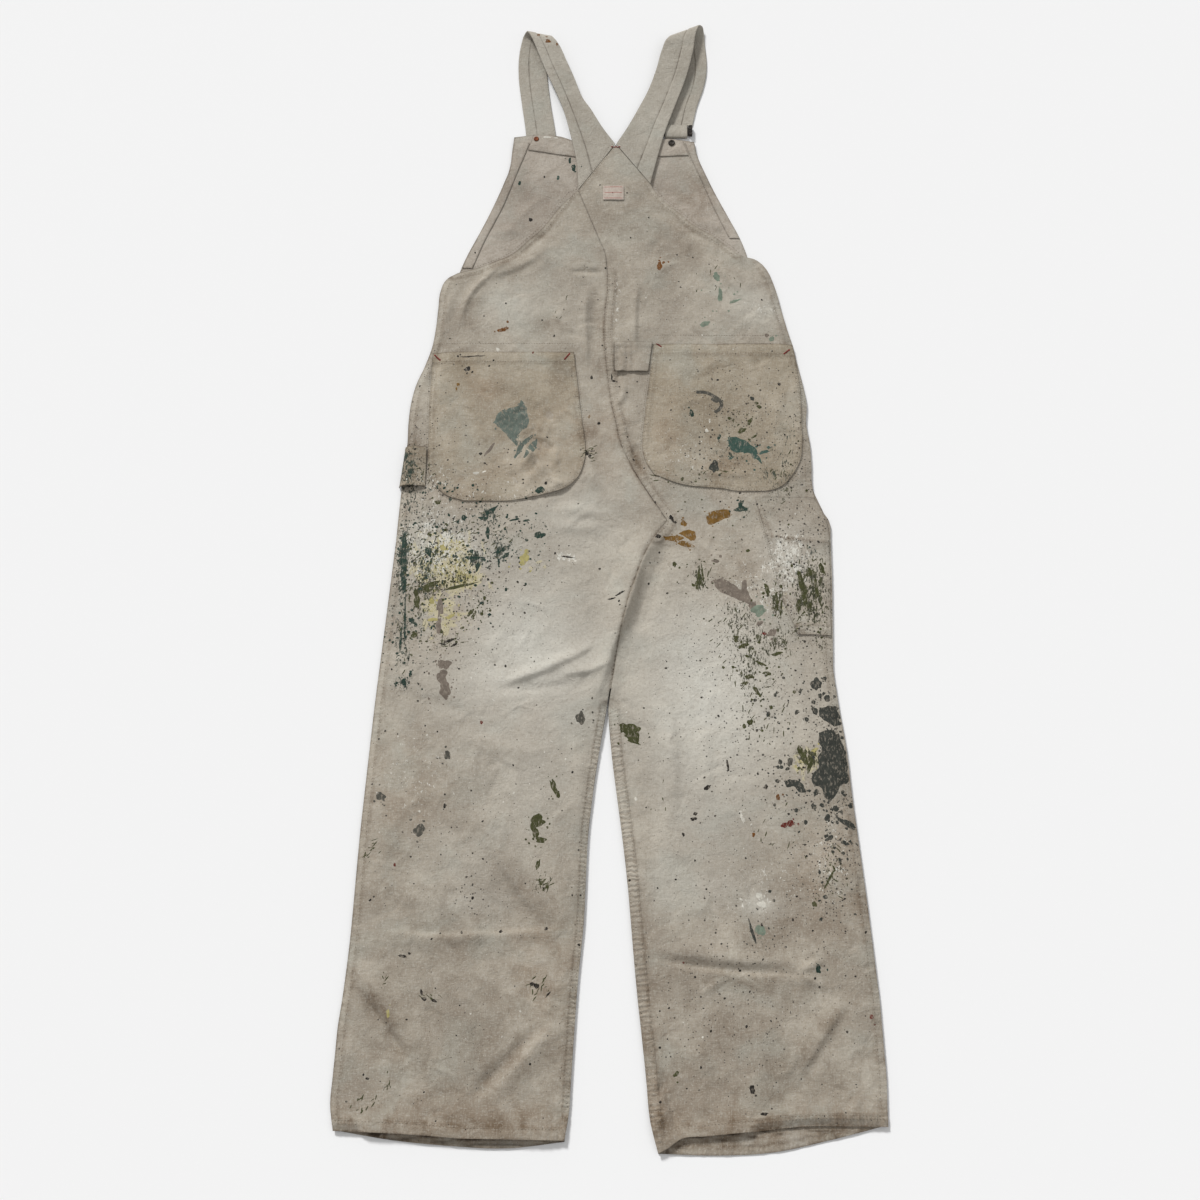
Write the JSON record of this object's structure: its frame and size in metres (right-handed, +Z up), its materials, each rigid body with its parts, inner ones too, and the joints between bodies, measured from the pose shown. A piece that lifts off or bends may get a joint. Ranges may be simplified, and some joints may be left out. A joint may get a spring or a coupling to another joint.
{
  "type": "paint spattered bib overalls laid flat",
  "caption": "Painter's bib overalls in worn ecru drill, laid flat back side up, with crossed straps, patch pockets, tool loops and paint spatter.",
  "frame": {"origin": "on the surface the garment lies on, under the centre of its bounding box", "axes": "+Y from the hems to the straps, +X to the wearer's right side, +Z up from the surface through the back of the garment"},
  "size_m": [0.5957, 1.4454, 0.0142],
  "materials": {
    "drill": "ecru cotton drill, washed thin and grubby, with dried house paint in many colours",
    "bib_drill": "the same drill, inner side, browner and softer",
    "strap_drill": "the same drill, folded and top stitched",
    "label_tape": "woven tape, bare with faded red rules",
    "black_metal": "black japanned steel, worn",
    "rusty_metal": "rusted steel"
  },
  "bodies": {
    "root": {"back_left": "drill", "back_right": "drill", "front_left": "drill", "front_right": "drill", "bib": "bib_drill", "bib_top_facing": "bib_drill", "bib_side_facing_left": "bib_drill", "bib_side_facing_right": "bib_drill", "strap_left": "strap_drill", "strap_right": "strap_drill", "strap_end_right": "strap_drill", "slider_left": "black_metal", "slider_right": "black_metal", "bib_button_left": "rusty_metal", "bib_button_right": "black_metal", "pocket_left": "drill", "pocket_right": "drill", "centre_tab": "drill", "rule_pocket": "drill", "label": "label_tape", "hammer_loop": "drill"}
  },
  "joints": []
}
